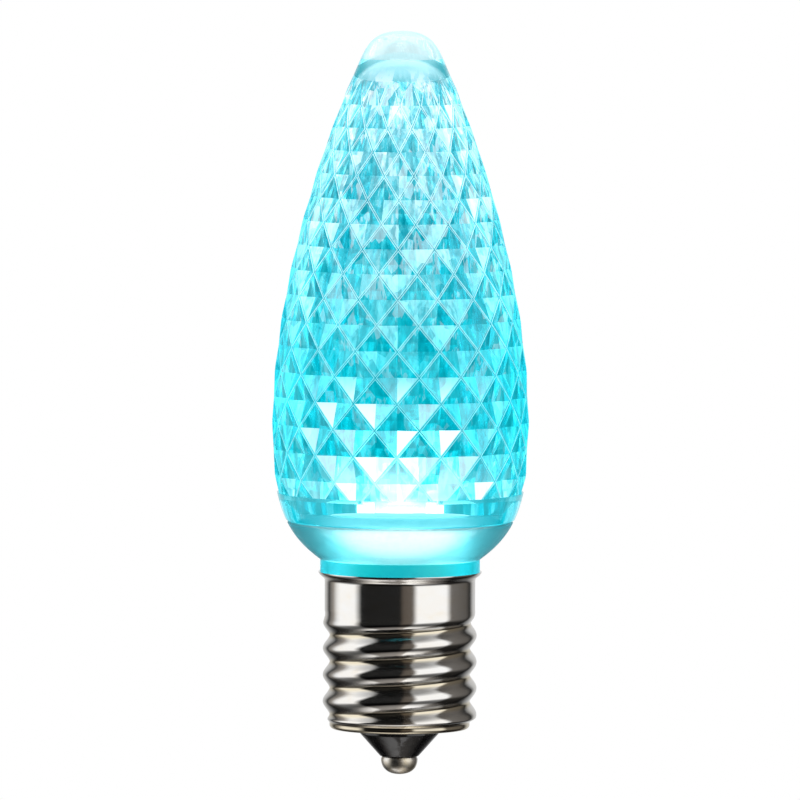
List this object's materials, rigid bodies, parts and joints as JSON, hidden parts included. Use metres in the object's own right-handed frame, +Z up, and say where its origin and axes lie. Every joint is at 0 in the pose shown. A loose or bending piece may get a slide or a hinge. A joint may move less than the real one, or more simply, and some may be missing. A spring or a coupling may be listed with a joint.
{
  "type": "led replacement bulb",
  "caption": "Faceted LED bulb in turquoise plastic, pointed-oval shape with diamond facets, a smooth cup below and a nickel-plated intermediate screw cap.",
  "frame": {"origin": "tip of the centre contact, on the lamp's axis", "axes": "+Z up along the lamp's axis, from the centre contact to the tip of the lens; -Y is the side that faces the camera"},
  "size_m": [0.0274, 0.0274, 0.0793],
  "materials": {
    "lens_plastic": "clear turquoise moulded plastic, polished",
    "cup_plastic": "turquoise moulded plastic, lightly frosted",
    "nickel_shell": "nickel-plated pressed sheet",
    "black_insulator": "glossy black moulded insulator",
    "nickel_contact": "nickel-plated contact",
    "white_board": "white solder mask",
    "led": "moulded package, lit",
    "green_board": "green solder mask on fibreglass",
    "tinned_wire": "tinned copper wire",
    "black_package": "black moulded package",
    "capacitor_sleeve": "dark blue shrunk sleeve",
    "resistor_coat": "fired tan coating"
  },
  "bodies": {
    "root": {"faceted_lens": "lens_plastic", "lower_cup": "cup_plastic", "screw_shell": "nickel_shell", "base_insulator": "black_insulator", "centre_contact": "nickel_contact", "led_board": "white_board", "led_post": "white_board", "led_1": "led", "led_2": "led", "led_3": "led", "led_4": "led", "led_5": "led", "driver_board": "green_board", "link_pin_left": "tinned_wire", "link_pin_right": "tinned_wire", "bridge_rectifier": "black_package", "current_regulator": "black_package", "chip_resistor_left": "black_package", "chip_resistor_right": "black_package", "smoothing_capacitor": "capacitor_sleeve", "fusible_resistor": "resistor_coat", "live_lead": "tinned_wire", "shell_lead": "tinned_wire"}
  },
  "joints": []
}
